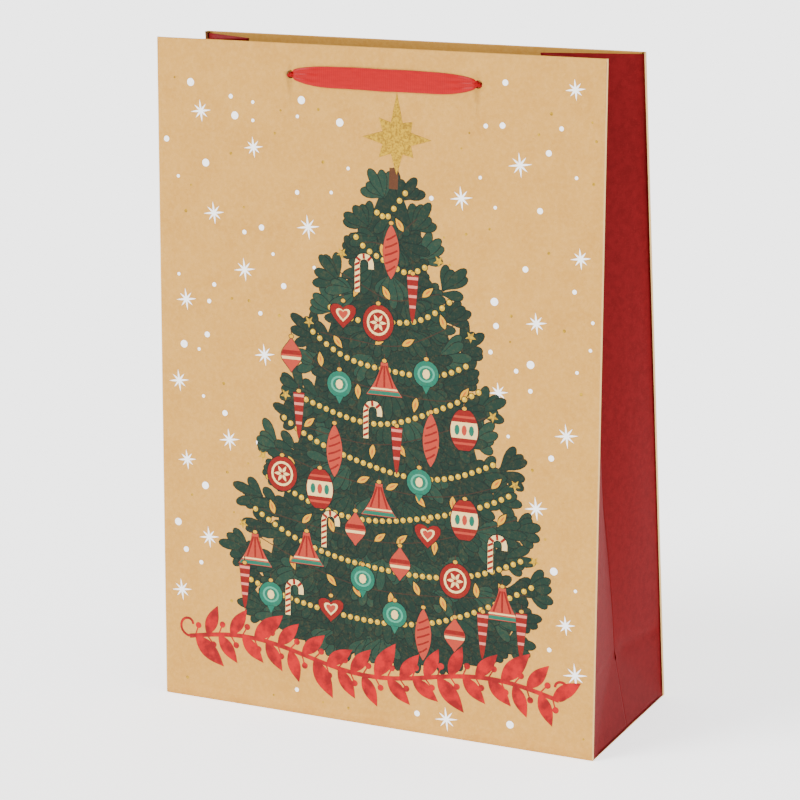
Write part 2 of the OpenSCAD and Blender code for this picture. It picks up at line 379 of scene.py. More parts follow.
panelPaper = {"thick": 0.4, "foldRadius": 0.73, "hemDepth": 38, "hemInset": 3, "acrossCuts": 48,
              "wrap": {"front": 0.2, "back": 3.2}, "topCuts": 10, "sideCuts": 6,
              "rows": (0.0011, 0.02, 0.05, 0.1, 0.2, 0.3, 0.4, 0.5, 0.6, 0.7, 0.8, 0.9, 0.96),
              "hemRows": (0.12, 0.35, 0.7, 1), "hole": 3, "holeSides": 24, "holeDeep": 8, "holeIn": 1.2}


def makePanel(which):
    s = panelPaper
    top = bagHeight
    r = s["foldRadius"] * mm
    # the paper's path: up the outside, over the rolled top edge and down inside as the turned-in part
    path = [(0, up * top) for up in s["rows"]]
    for k in range(s["topCuts"] + 1):
        a = math.pi * k / s["topCuts"]
        path.append((r - r * math.cos(a), top - r + r * math.sin(a)))
    path += [(2 * r, top - s["hemDepth"] * mm * down) for down in s["hemRows"]]
    turnAt = len(s["rows"]) + s["topCuts"] // 2

    # columns across: even ones on the flat, close ones where the paper turns the side folds
    flat = bagWidth / 2 - r
    quarter = r * math.pi / 2
    bend = [quarter * k / s["sideCuts"] for k in range(1, s["sideCuts"] + 1)]
    bend.append(quarter + s["wrap"][which] * mm)
    columns = [flat * (2 * k / s["acrossCuts"] - 1) for k in range(s["acrossCuts"] + 1)]
    columns = [-flat - c for c in reversed(bend)] + columns + [flat + c for c in bend]

    def shape(across, up):
        row = round(up * (len(path) - 1))
        inward, height = path[row]
        x = columns[round(across * (len(columns) - 1))]
        if row > turnAt:
            return Vector((x * (bagWidth / 2 - s["hemInset"] * mm) / columns[-1], inward, height))
        past = abs(x) - flat
        if past > 0:
            angle = min(past / r, math.pi / 2)
            inward += r * (1 - math.cos(angle)) + max(0, past - quarter)
            x = math.copysign(flat + r * math.sin(angle), x)
        return Vector((x, inward, height))

    sheet = makeSheet(len(columns) - 1, len(path) - 1, shape)
    bmesh.ops.transform(sheet, matrix=panelPlace(which), verts=sheet.verts)
    bmesh.ops.recalc_face_normals(sheet, faces=sheet.faces)
    heart = panelPlace(which) @ Vector((0, 0, bagHeight / 2))
    middle = min(sheet.faces, key=lambda f: (f.calc_center_median() - heart).length)
    if middle.normal.dot(outwardOf(which)) < 0:
        bmesh.ops.reverse_faces(sheet, faces=sheet.faces)
    giveThickness(sheet, s["thick"])
    nodes = [which + "_panel", which + "_hem"]
    return finishPiece(which + "PanelSheet", sheet, kraftPaper, which, nodes)


def cutHoles(piece, which):  # the two ribbon holes, through the panel and its turned-in part
    s = panelPaper
    cutters = bmesh.new()
    for side in (-1, 1):
        place = Matrix.Translation(holeAt(side) + Vector((0, s["holeIn"] * mm, 0)))
        bmesh.ops.create_cone(
            cutters, cap_ends=True, segments=s["holeSides"], depth=s["holeDeep"] * mm,
            radius1=s["hole"] * mm, radius2=s["hole"] * mm,
            matrix=panelPlace(which) @ place @ Matrix.Rotation(math.pi / 2, 4, "X"))
    data = bpy.data.meshes.new("cutters")
    cutters.to_mesh(data)
    cutters.free()
    cutter = addObject("cutter", data)
    cut = piece.modifiers.new("holes", "BOOLEAN")
    cut.object = cutter
    cut.solver = "EXACT"
    bpy.context.view_layer.update()
    done = bpy.data.meshes.new_from_object(piece.evaluated_get(bpy.context.evaluated_depsgraph_get()))
    piece.modifiers.clear()
    piece.data = done
    bpy.data.objects.remove(cutter)


for which in ("front", "back"):
    cutHoles(makePanel(which), which)
print("panels ready")

# Side gussets: each half is one sheet that bends between the base and its panel

gusset = {"foldUp": 60, "foldIn": 12, "foldBack": -4, "topIn": 60, "topBack": -33, "flare": 1.4,
          "footUp": 1.2, "topShort": 2.2, "edgeIn": 0.55, "edgeGap": 0.75, "thick": 0.4,
          "softFold": 1.6, "facetIn": 3, "bow": 2.4, "shelf": 1.3, "shelfWide": 7, "shelfSlope": 4,
          "hemDepth": 38, "hemGap": 0.9, "hemRoll": 0.0008, "rollCuts": 6,
          "hemRows": (0.02, 0.1, 0.3, 0.5, 0.7, 0.85, 1), "acrossCuts": 56, "upCuts": 150,
          "bend": {"front": ((0, -1, -0.03), 18, 46), "back": ((0, 1, 0.096), 15, 62)}}


def gussetPoint(side, which, across, up):
    # across runs from the middle crease to the panel's side fold, up along the paper; the lowest part lies
    # on the triangle that stands up from the base
    s = gusset
    outward = -1 if which == "front" else 1
    lean = leans[which]
    tall = bagHeight - s["topShort"] * mm
    foldUp = s["foldUp"] * mm
    height = mix(s["footUp"] * mm, tall, up)
    edge = Vector((bagWidth / 2 - s["edgeIn"] * mm,
                   outward * (baseDepth / 2 - s["edgeGap"] * mm - height * math.sin(lean)),
                   height * math.cos(lean)))
    over = max(0, height - foldUp) / (tall - foldUp)
    if height > foldUp:
        inset = mix(s["foldIn"], s["topIn"], over ** s["flare"]) * mm
        crease = Vector((bagWidth / 2 - inset, mix(s["foldBack"], s["topBack"], over) * mm, height))
    else:
        crease = Vector((bagWidth / 2 - height * s["foldIn"] / s["foldUp"], s["foldBack"] * mm, height))
    point = crease.lerp(edge, across)
    if height <= foldUp:
        corner = Vector((edge.x, outward * baseDepth / 2, 0))
        onFold = corner.lerp(crease, height / foldUp)
        share = abs(point.y - onFold.y) / max(abs(edge.y - onFold.y), 1e-5)
        facet = crease.x - share * s["facetIn"] * mm
        if abs(point.y) > abs(onFold.y):
            facet = mix(crease.x, edge.x, share)
        soft = s["softFold"] * mm * min(1, 6 * (1 - across))
        point.x = (facet + crease.x + math.hypot(facet - crease.x, soft)) / 2 - soft / 2
    # the sheet bows outward a little between its folds, most half way up, and gives at the shelf fold
    point.x += math.sin(math.pi * across) * math.sin(math.pi * min(1, over * 1.15)) * s["bow"] * mm
    if which == "back":
        fromShelf = (height - foldUp + s["shelfSlope"] * across * mm) / (s["shelfWide"] * mm)
        dent = math.exp(-fromShelf ** 2) * smooth(across * 4) * (1 - across ** 4)
        point.x -= s["shelf"] * mm * dent
    point.x = min(point.x, edge.x)
    if side == "left":
        point.x = -point.x
    return point


def makeGusset(side, which):
    s = gusset
    # rows up the sheet, then over the top edge and down inside, where the paper is turned in and glued
    rows = [(k / s["upCuts"], 0) for k in range(s["upCuts"])]
    for k in range(s["rollCuts"] + 1):
        a = math.pi * k / s["rollCuts"]
        rows.append((1 + s["hemRoll"] * math.sin(a), s["hemGap"] * (1 - math.cos(a)) / 2))
    rows += [(1 - down * s["hemDepth"] * mm / bagHeight, s["hemGap"]) for down in s["hemRows"]]

    def shape(across, share):
        up, inward = rows[round(share * (len(rows) - 1))]
        point = gussetPoint(side, which, across, up)
        if not inward:
            return point
        near = min(max(across, 0.01), 0.99)
        sideways = gussetPoint(side, which, near + 0.01, up) - gussetPoint(side, which, near - 0.01, up)
        upward = gussetPoint(side, which, near, up) - gussetPoint(side, which, near, up - 0.01)
        normal = sideways.cross(upward).normalized()
        if normal.x * point.x > 0:
            normal.negate()
        return point + normal * inward * mm

    sheet = makeSheet(s["acrossCuts"], len(rows) - 1, shape)
    outward = 1 if side == "right" else -1
    if sum(f.normal.x * f.calc_area() for f in sheet.faces) * outward < 0:
        bmesh.ops.reverse_faces(sheet, faces=sheet.faces)
    giveThickness(sheet, s["thick"])
    nodes = [f"{side}_gusset_{which}", f"{side}_gusset_{which}_hem"]
    if which == "front":
        nodes.append(side + "_base_triangle")
    name = f"{side}{which.capitalize()}GussetSheet"
    piece = finishPiece(name, sheet, redPaper, None, nodes)
    direction, start, end = s["bend"][which]
    along = Vector(direction).normalized()
    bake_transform(piece)


for side in ("left", "right"):
    for which in ("front", "back"):
        makeGusset(side, which)
print("gussets ready")

# Ribbon handles

sideNames = {-1: "left", 1: "right"}
ribbon = {"thick": 0.35, "bow": 0.5, "pinch": 30, "narrow": 1.1, "taper": 0.1, "pleats": 3, "pleatDeep": 0.5,
          "off": 0.62, "curl": 0.25, "droop": 0.8, "waver": 0.25, "waverTurns": 90, "intoHole": 5,
          "pulled": 2.2, "tucked": 2, "acrossCuts": 24, "alongCuts": 70}


def makeRibbonHalf(which, side):
    # flat across the panel, gathered into pleats towards the hole, where it goes in
    s = ribbon
    half = holeGap / 2

    def shape(across, along):
        x = along * half
        toHole = (half - x) / (s["pinch"] * mm)
        gather = smooth(toHole)
        sides = (across - 0.5) * 2
        swing = 1 - math.sqrt(max(0, 1 - (1 - min(toHole, 1)) ** 1.8))
        width = mix(s["narrow"] * mm, ribbonWidth / 2 * (1 - s["taper"] * along ** 2), 1 - swing)
        pleat = math.cos(sides * math.pi * s["pleats"]) * s["pleatDeep"] * mm
        pleat *= (1 - gather) * smooth(along * 3)
        lift = s["off"] + s["bow"] * (1 - along ** 2) - s["curl"] * sides ** 2
        into = smooth(1 - (half - x) / (s["intoHole"] * mm)) ** 2 * s["pulled"] * mm
        out = lift * mm + pleat * 0.8 + (1 - gather) * 0.3 * mm
        droop = -s["droop"] * mm * (1 - along ** 2) + s["waver"] * mm * math.sin(x * s["waverTurns"])
        place = Vector((handleShift + side * x, -out + into, holeUp + sides * width + droop))
        return panelPlace(which) @ place

    sheet = makeSheet(s["acrossCuts"], s["alongCuts"], shape)
    if sum(f.normal.dot(outwardOf(which)) * f.calc_area() for f in sheet.faces) < 0:
        bmesh.ops.reverse_faces(sheet, faces=sheet.faces)
    area = sum(f.calc_area() for f in sheet.faces)
    giveThickness(sheet, s["thick"])
    # the two halves meet in the middle, so neither has an end face there
    meeting = [f for f in sheet.faces
               if all(abs(abs(v.co.x) - abs(handleShift)) < 0.01 * mm for v in f.verts)]
    bmesh.ops.delete(sheet, geom=meeting, context="FACES_ONLY")
    name = f"{which}Ribbon{sideNames[side].capitalize()}Half"
    piece = finishPiece(name, sheet, redSatin, None, [which + "_ribbon"])
    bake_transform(piece)


leg = {"hangs": 8.06, "turn": 5, "out": 0.4, "intoKnot": 1, "bunched": 2.0, "open": 5.2, "foldBunched": 1.5,
       "foldOpen": 0.55, "folds": 2.5, "wander": 0.5, "blendFrom": 6, "acrossCuts": 30, "alongCuts": 90}


def makeLeg(which, side):
    # the ribbon inside, bunched through the hole and hanging down to its knot
    s = leg
    low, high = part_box(f"{which}_leg_{sideNames[side]}")
    long = (high.z - low.z) / math.cos(leans[which])
    hangs = s["hangs"] * mm
    turn = s["turn"] * mm
    hole = holeAt(side)

    def centre(t):  # in through the hole, round a quarter turn and straight down
        run = t * (long + hangs + s["intoKnot"] * mm)
        if run < hangs - turn:
            return Vector((0, run - s["out"] * mm, 0)), 0
        bend = min(1, (run - hangs + turn) / (turn * math.pi / 2))
        angle = bend * math.pi / 2
        down = max(0, run - (hangs - turn) - turn * math.pi / 2)
        inward = hangs - turn + turn * math.sin(angle)
        return Vector((0, inward, -turn * (1 - math.cos(angle)) - down)), angle

    def shape(across, along):
        place, angle = centre(along)
        sides = (across - 0.5) * 2
        opened = smooth((along - 0.1) / 0.35) * (1 - 0.75 * smooth((along - 0.8) / 0.2))
        width = mix(s["bunched"], s["open"], opened) * mm
        fold = mix(s["foldBunched"], s["foldOpen"], opened) * mm * math.cos(sides * math.pi * s["folds"])
        normal = Vector((0, math.sin(angle), -math.cos(angle)))
        wander = s["wander"] * mm * math.sin(along * 9)
        return panelPlace(which) @ (hole + place + Vector((sides * width + wander, 0, 0)) + normal * fold)

    sheet = makeSheet(s["acrossCuts"], s["alongCuts"], shape)
    giveThickness(sheet, ribbon["thick"])
    nodes = [f"{which}_leg_{sideNames[side]}"]
    name = f"{which}Leg{sideNames[side].capitalize()}"
    piece = finishPiece(name, sheet, redSatin, None, nodes)
    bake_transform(piece)


knotUp = 390.15 * mm  # the height of the knots' middles up the panel
trefoil = {"size": 1.15, "deep": 1.5, "tall": 1.15, "wide": 2.1, "thin": 1.25, "turns": 120, "around": 18}
tail = {"from": 2, "long": 18, "slant": 1.0, "bunched": 2.0, "open": 4.4, "foldBunched": 1.1, "foldOpen": 0.5,
        "folds": 2, "curl": 1.2, "acrossCuts": 20, "alongCuts": 24}


def makeKnot(which, side):
    # an overhand knot: a bunched ribbon led round a trefoil, with its tail cut straight below
    turned = panelPlace(which).to_3x3()
    down = turned @ Vector((0, 0, -1))
    inward = turned @ Vector((0, 1, 0))
    sideways = turned @ Vector((1, 0, 0))
    hole = panelPlace(which) @ (holeAt(side) + Vector((0, leg["hangs"] * mm, 0)))
    heart = hole + down * (holeUp - knotUp)

    def onTrefoil(a):
        s = trefoil
        spread = (2 + math.cos(3 * a)) * s["size"] * mm
        up = spread * s["tall"] * math.sin(2 * a)
        return Vector((spread * math.cos(2 * a), s["deep"] * mm * math.sin(3 * a), up))

    def knotShape(around, along):
        s = trefoil
        a = 2 * math.pi * along
        b = 2 * math.pi * around
        here = onTrefoil(a)
        ahead = (onTrefoil(a + 0.01) - here).normalized()
        flat = ahead.cross(Vector((0, 1, 0))).normalized()
        wide = s["wide"] * mm * (1 + 0.13 * math.sin(5 * b))
        thin = s["thin"] * mm * (1 + 0.1 * math.cos(4 * b + 2))
        local = here + flat * math.cos(b) * wide + ahead.cross(flat) * math.sin(b) * thin
        return heart + sideways * local.x + inward * local.y - down * local.z

    def tailShape(across, along):
        s = tail
        sides = (across - 0.5) * 2
        opened = smooth(along * 1.6)
        width = mix(s["bunched"], s["open"], opened) * mm
        fold = mix(s["foldBunched"], s["foldOpen"], opened) * mm * math.cos(sides * math.pi * s["folds"])
        drop = (s["from"] + along * (s["long"] + s["slant"] * sides)) * mm
        return heart + down * drop + sideways * sides * width + inward * (fold + s["curl"] * mm * along ** 2)

    knot = makeSheet(trefoil["around"], trefoil["turns"], knotShape)
    bmesh.ops.remove_doubles(knot, verts=knot.verts, dist=0.001 * mm)  # the tube closes on itself both ways
    bmesh.ops.recalc_face_normals(knot, faces=knot.faces)
    hanging = makeSheet(tail["acrossCuts"], tail["alongCuts"], tailShape)
    giveThickness(hanging, ribbon["thick"])
    spare = bpy.data.meshes.new("tail")
    hanging.to_mesh(spare)
    hanging.free()
    knot.from_mesh(spare)
    bpy.data.meshes.remove(spare)
    name = f"{which}Knot{sideNames[side].capitalize()}"
    nodes = [f"{which}_knot_{sideNames[side]}"]
    finishPiece(name, knot, redSatin, which + "_knots", nodes)


for which in ("front", "back"):
    for side in (-1, 1):
        makeRibbonHalf(which, side)
        makeLeg(which, side)
        makeKnot(which, side)
print("ribbons ready")

# The printed picture: flat shapes in drawing order, x across the panel and y up it, in mm

art = {"seed": 11, "lift": 0.06, "ornament": 1.22}
treeArt = {"topX": 14, "baseX": 9, "top": 404, "foot": 76,
           "fillFoot": 58, "fillStep": 12, "fillRows": 29, "fillWide": 0.8,
           "widths": ((404, 7), (380, 20), (356, 30), (312, 53), (275, 68), (238, 78), (209, 90), (179, 101),
                      (150, 109), (120, 117), (92, 123), (62, 96)),
           "firstRow": 19, "rowStep": 21, "columnStep": 16, "finger": (19, 7), "outline": 0.6,
           "fan": (-44, 44, -22, 22, 0), "droop": (92, 150), "lift": 12, "trunk": (15.5, 12, 7)}
garland = {"swags": ((391, 16), (356, 24), (318, 34), (286, 42), (252, 48), (218, 56), (184, 62), (148, 68),
                     (112, 74)),
           "leans": (18, -20, 10, -14), "sag": 0.42, "inset": 3, "waver": 1.5, "waverTurns": 9,
           "bead": 2.1, "beadGap": 6, "wire": 0.7, "wireUp": 15, "bulb": (11, 4.6), "bulbGap": 26,
           "bulbTurns": (-60, -100, 40, 110)}
snow = {"flake": (15, 19), "flakeRoom": 11, "dotRoom": 4, "gap": 8, "margin": 9, "most": 126, "tries": 2500,
        "across": 168, "low": 6, "high": 492, "dots": (1.3, 1.7, 2.2, 2.9), "gold": (0.8, 1.4),
        "sprigBand": (19, 71), "ribbonAt": (7, 478), "ribbonRoom": (84, 12)}
sprig = {"ends": (-154, 148), "up": 45, "wave": 7, "waveTurns": 9.5, "tilt": 3, "stem": 3.4, "leaves": 30,
         "leaf": (26, 10.5), "splay": 52, "berry": 2.5, "berryOut": 9}
star = {"at": (18, 437), "reach": (32, 17, 26.5, 18, 25.5, 19.5, 26.5, 19.5), "waist": 11.8, "rise": 0.6,
        "edge": 0.22, "foot": 0.01, "spread": 1.02, "room": 34}
# what hangs where: the garlands and ornaments are spread over the tree, the snowflakes round it
ornaments = (
    ("spindle", 14, 356), ("cane", -9, 341), ("icicle", 31, 326), ("heart", -24, 308), ("bauble", 4, 304),
    ("drop", -66, 275), ("ring", -27, 256), ("bell", 9, 262), ("ring", 42, 270), ("icicle", -60, 232),
    ("cane", -2, 234), ("icicle", 19, 214), ("spindle", 46, 222), ("spindle", -31, 206), ("lantern", 72, 232),
    ("ring", 37, 190), ("lantern", -43, 176), ("bell", 5, 172), ("bauble", -74, 184), ("lantern", 73, 166),
    ("drop", -14, 150), ("cane", -36, 148), ("heart", 44, 152), ("cane", 97, 146), ("bell", -54, 128),
    ("bell", -97, 122), ("bauble", 66, 120), ("bell", 103, 106), ("ring", -84, 90), ("cane", -66, 92),
    ("heart", -34, 86), ("ring", 18, 88), ("spindle", 41, 76), ("drop", 66, 80), ("icicle", 88, 84),
    ("icicle", -106, 96), ("drop", 22, 128), ("ring", -8, 112), ("icicle", 118, 88))
snowflakes = (
    (-139, 448), (-129, 374), (-52, 369), (-153, 308), (-88, 272), (-118, 205), (-154, 186), (-136, 128),
    (-160, 84), (112, 424), (158, 362), (126, 314), (98, 262), (150, 236), (128, 181), (152, 98), (160, 62),
    (60, 14), (-104, 334), (68, 398), (-96, 424), (152, 478), (-160, 246))
shapes = []


def ring(x, y, radius, squash=1, sides=12):
    turns = [2 * math.pi * k / sides for k in range(sides)]
    return [(x + radius * math.cos(a), y + squash * radius * math.sin(a)) for a in turns]


def bothSides(x, y, angle, length, profile):
    # an outline from (x, y), as wide on both sides as profile says in pairs of share along and half width
    left = []
    right = []
    for share, half in profile:
        alongX = x + length * share * math.cos(angle)
        alongY = y + length * share * math.sin(angle)
        left.append((alongX - math.sin(angle) * half, alongY + math.cos(angle) * half))
        right.append((alongX + math.sin(angle) * half, alongY - math.cos(angle) * half))
    return right + left[-2:0:-1]


def leaf(x, y, angle, length, width, points=7, blunt=0.72):  # pointed at both ends, widest part way along
    profile = [(0, 0)]
    for k in range(1, points):
        profile.append((k / points, width / 2 * math.sin(math.pi * (k / points) ** blunt)))
    profile.append((1, 0))
    return bothSides(x, y, angle, length, profile)


def finger(x, y, angle, length, width, points=8):  # narrow where it grows and round at its tip
    widest = 0.66
    profile = [(0, 0)]
    for k in range(1, points):
        share = (1 - math.cos(math.pi * k / points)) / 2
        swell = mix(0.3, 1, smooth(share / widest))
        if share > widest:
            swell = math.sqrt(max(0, 1 - ((share - widest) / (1 - widest)) ** 2))
        profile.append((share, width / 2 * swell))
    profile.append((1, 0))
    return bothSides(x, y, angle, length, profile)


def stroke(path, width):  # a line of the given width along the path
    left = []
    right = []
    for k, (x, y) in enumerate(path):
        ax, ay = path[max(k - 1, 0)]
        bx, by = path[min(k + 1, len(path) - 1)]
        long = math.hypot(bx - ax, by - ay) or 1
        nx = -(by - ay) / long * width / 2
        ny = (bx - ax) / long * width / 2
        left.append((x + nx, y + ny))
        right.append((x - nx, y - ny))
    return right + left[::-1]


def draw(inkName, outline):
    area = sum(a[0] * b[1] - b[0] * a[1] for a, b in zip(outline, outline[1:] + outline[:1]))
    shapes.append((inkName, outline if area > 0 else outline[::-1]))


def treeHalfWidth(y):
    pairs = treeArt["widths"]
    for (top, wide), (low, wider) in zip(pairs, pairs[1:]):
        if low <= y <= top:
            return mix(wide, wider, (top - y) / (top - low))
    return pairs[0][1] if y > pairs[0][0] else pairs[-1][1]


def treeMiddle(y):
    return mix(treeArt["topX"], treeArt["baseX"], (treeArt["top"] - y) / (treeArt["top"] - treeArt["foot"]))


def drawTree(chance):
    # rows of fanned fingers from the lowest up, so that each row lies over the one below
    s = treeArt
    levels = [s["top"] - 2 - k * s["fillStep"] for k in range(s["fillRows"])] + [s["fillFoot"]]
    side = [(treeMiddle(y) + s["fillWide"] * treeHalfWidth(y), y) for y in levels]
    mirrored = [(treeMiddle(y) - s["fillWide"] * treeHalfWidth(y), y) for y in levels]
    draw("pineDark", mirrored + side[::-1])
    rows = int((s["top"] - s["foot"]) / s["rowStep"])
    edge = s["outline"]
    for row in range(rows, -1, -1):
        y = s["top"] - s["firstRow"] - row * s["rowStep"]
        wide = treeHalfWidth(y) * (1.02 if row % 2 else 0.9)
        count = max(1, round(wide / s["columnStep"]))
        for k in sorted(range(-count, count + 1), key=lambda k: -abs(k)):
            share = k / count
            x = treeMiddle(y) + share * (wide - 9) + chance.uniform(-2, 2)
            lift = s["lift"] * abs(share) ** 2
            reach = mix(*s["droop"], max(0, (y - s["foot"]) / (s["top"] - s["foot"])) ** 1.3)
            middle = math.radians(-90 + share * reach)
            inkName = chance.choice(("pine", "pineDark", "pine", "pineLight", "pineDark"))
            for turn in s["fan"]:
                angle = middle + math.radians(turn + chance.uniform(-6, 6))
                length, width = s["finger"]
                long = length * chance.uniform(0.8, 1.15) * (1.15 if turn == 0 else 1)
                here = (x + chance.uniform(-1, 1), y + lift + chance.uniform(-2, 2) - 3)
                behind = (here[0] - edge * math.cos(angle), here[1] - edge * math.sin(angle))
                draw("pineEdge", finger(*behind, angle, long + 2 * edge, width + 2 * edge))
                draw(inkName, finger(*here, angle, long, width))
    x, long, width = s["trunk"]
    draw("trunk", stroke([(x, s["top"] - 3), (x + 0.5, s["top"] + long)], width))


def swagPoint(level, drop, share, lean):
    # a garland hangs from the left edge of the tree to the right edge and sags between
    s = garland
    x = treeMiddle(level) + (share - 0.5) * 2 * (treeHalfWidth(level) - s["inset"])
    sag = drop * s["sag"] * (1 - (2 * share - 1) ** 2)
    waver = s["waver"] * math.sin(s["waverTurns"] * share + level)
    return x, level + (share - 0.5) * lean - sag + waver


def drawBulb(chance, x, y):
    angle = math.radians(chance.choice(garland["bulbTurns"]) + chance.uniform(-15, 15))
    length, width = garland["bulb"]
    draw("pineEdge", leaf(x, y, angle, length + 1.2, width + 1.4, 8, 0.85))
    draw("bulb", leaf(x, y, angle, length, width, 8, 0.85))
    inner = (x + 3 * math.cos(angle), y + 3 * math.sin(angle))
    draw("bulbCore", leaf(*inner, angle, length * 0.5, width * 0.3, 5, 0.9))


def drawBead(x, y):
    radius = garland["bead"]
    draw("pineEdge", ring(x, y, radius + 0.5))
    draw("bead", ring(x, y, radius))
    draw("beadCore", ring(x - 0.5, y + 0.6, radius * 0.38, 1, 7))


def drawGarlands(chance):
    # strings of beads, and between them wires with small lights
    s = garland
    for n, (level, drop) in enumerate(s["swags"]):
        long = 2 * treeHalfWidth(level)
        lean = s["leans"][n % 4]
        if n:
            above = level + s["wireUp"]
            wire = [swagPoint(above, drop * 0.7, k / 24, -lean) for k in range(25)]
            draw("wire", stroke(wire, s["wire"]))
            bulbs = int(long / s["bulbGap"])
            for k in range(bulbs):
                share = (k + 0.5 + chance.uniform(-0.2, 0.2)) / bulbs
                drawBulb(chance, *swagPoint(above, drop * 0.7, share, -lean))
        count = int(long * 1.08 / s["beadGap"])
        for k in range(count + 1):
            drawBead(*swagPoint(level, drop, k / count, lean))


def scaled(outline, x, y, scale):
    return [(x + (px - x) * scale, y + (py - y) * scale) for px, py in outline]


def edged(inkName, outline, grow=0.6):  # a shape with a thin dark edge round it
    cx = sum(p[0] for p in outline) / len(outline)
    cy = sum(p[1] for p in outline) / len(outline)
    scale = 1 + grow / max(math.hypot(px - cx, py - cy) for px, py in outline)
    draw("pineEdge", scaled(outline, cx, cy, scale))
    draw(inkName, outline)


def hook(x, y):  # an ornament's cap, with its wire above
    draw("wire", stroke([(x, y), (x, y + 4)], garland["wire"]))
    edged("bulb", ring(x, y, 1.5, 0.8, 8), 0.4)


def body(x, y, halfAt, rise, steps):  # a turned shape, symmetric about x, from y up to y + rise
    right = [(x + halfAt(k / steps), y + rise * k / steps) for k in range(steps + 1)]
    left = [(x - halfAt(k / steps), y + rise * k / steps) for k in range(steps, -1, -1)]
    return right + left


def band(x, y, halfAt, rise, low, high, inkName):  # the stretch of a turned shape between two heights
    part = [low + (high - low) * k / 3 for k in range(4)]
    right = [(x + halfAt(t) * 0.97, y + rise * t) for t in part]
    left = [(x - halfAt(t) * 0.97, y + rise * t) for t in reversed(part)]
    draw(inkName, right + left)


def spindle(x, y):
    half = lambda t: 0.2 + 5 * math.sin(math.pi * min(t, 0.999)) ** 0.8
    edged("coral", body(x, y - 16, half, 32, 12))
    for k in range(5):
        at = y - 10 + k * 4.6
        wide = half((at - y + 16) / 32) * 0.8
        draw("brick", stroke([(x - wide, at - 1.6), (x, at - 0.2), (x + wide, at + 1.8)], 1.1))
    hook(x, y + 17)


def icicle(x, y):
    half = lambda t: 0.3 + 3.4 * t ** 0.6
    edged("brick", body(x, y - 16, half, 28, 10))
    for t in (0.3, 0.52, 0.72, 0.9):
        band(x, y - 16, half, 28, t, t + 0.06, "rose")
    hook(x, y + 13)


def ringBauble(x, y):
    edged("teal", ring(x, y, 8, 1, 18))
    edged("teal", [(x - 2.6, y - 7.2), (x, y - 12), (x + 2.6, y - 7.2)], 0.3)
    draw("tealPale", ring(x, y, 5.6, 0.9, 16))
    draw("teal", ring(x, y, 4.3, 0.9, 14))
    draw("cream", ring(x, y, 2.4, 1.25, 8))
    hook(x, y + 9)


def lantern(x, y):
    half = lambda t: 3.4 + 5.6 * math.sin(math.pi * min(max(t, 0.0), 1)) ** 0.7
    edged("brick", body(x, y - 12, half, 24, 12))
    band(x, y - 12, half, 24, 0.3, 0.7, "cream")
    for k in (-1, 0, 1):
        draw("teal" if k else "coral", ring(x + k * 4.6, y, 1.7, 1.9, 8))
    band(x, y - 12, half, 24, 0.14, 0.2, "coral")
    band(x, y - 12, half, 24, 0.8, 0.86, "coral")
    hook(x, y + 13)


def drop(x, y):
    half = lambda t: 0.3 + 7 * math.sin(math.pi * t) ** 1.4 * (1.1 - 0.35 * t)
    edged("coral", body(x, y - 11, half, 21, 12))
    band(x, y - 11, half, 21, 0.36, 0.44, "cream")
    band(x, y - 11, half, 21, 0.5, 0.62, "brick")
    hook(x, y + 10.5)


def bell(x, y):
    half = lambda t: 2.2 + 9.5 * (1 - t) ** 1.7
    edged("coral", body(x, y - 9, half, 20, 10))
    band(x, y - 9, half, 20, 0.02, 0.13, "teal")
    band(x, y - 9, half, 20, 0.17, 0.22, "cream")
    for k in (-1, 0, 1):
        draw("brick", stroke([(x + k * 5.5, y - 4), (x + k * 1.2, y + 9)], 1.2))
    hook(x, y + 12)


def heart(x, y):
    outline = []
    for k in range(22):
        a = 2 * math.pi * k / 22
        up = 6.9 * math.cos(a) - 2.7 * math.cos(2 * a) - math.cos(3 * a)
        outline.append((x + 8.5 * math.sin(a) ** 3, y + up))
    edged("brick", outline)
    draw("cream", scaled(outline, x, y, 0.55))
    draw("coral", scaled(outline, x, y, 0.38))
    hook(x, y + 8)


def bauble(x, y):
    edged("brick", ring(x, y, 10, 1.08, 20))
    draw("cream", ring(x, y, 7.4, 1.05, 18))
    draw("brick", ring(x, y, 6, 1.05, 16))
    for k in range(6):
        turn = math.pi * k / 3
        draw("cream", leaf(x + 0.8 * math.cos(turn), y + 0.8 * math.sin(turn), turn, 4.6, 2, 5))
    hook(x, y + 11.5)


def cane(x, y):
    path = [(x - 3, y - 13), (x - 3, y + 4)]
    for k in range(1, 7):
        a = math.pi * k / 6
        path.append((x + 1.5 - 4.5 * math.cos(a), y + 4 + 4.5 * math.sin(a)))
    path.append((x + 6, y + 1))
    draw("pineEdge", stroke(path, 4.6))
    draw("cream", stroke(path, 3.4))
    for k in range(5):
        at = y - 11 + k * 3.6
        stripe = [(x - 4.6, at - 1.2), (x - 1.4, at + 0.4), (x - 1.4, at + 2), (x - 4.6, at + 0.4)]
        draw("brick", stripe)
    for a in (0.6, 1.5, 2.4):
        across = [(x + 1.5 - r * math.cos(a), y + 4 + r * math.sin(a)) for r in (2.9, 6.1)]
        draw("brick", stroke(across, 1.6))


def drawFlake(x, y, size):
    for k in range(8):
        a = math.pi * k / 4 + 0.12
        reach = size / 2 * (1 if k % 2 == 0 else 0.8)
        draw("white", leaf(x, y, a, reach, 1.5, 6, 0.6))


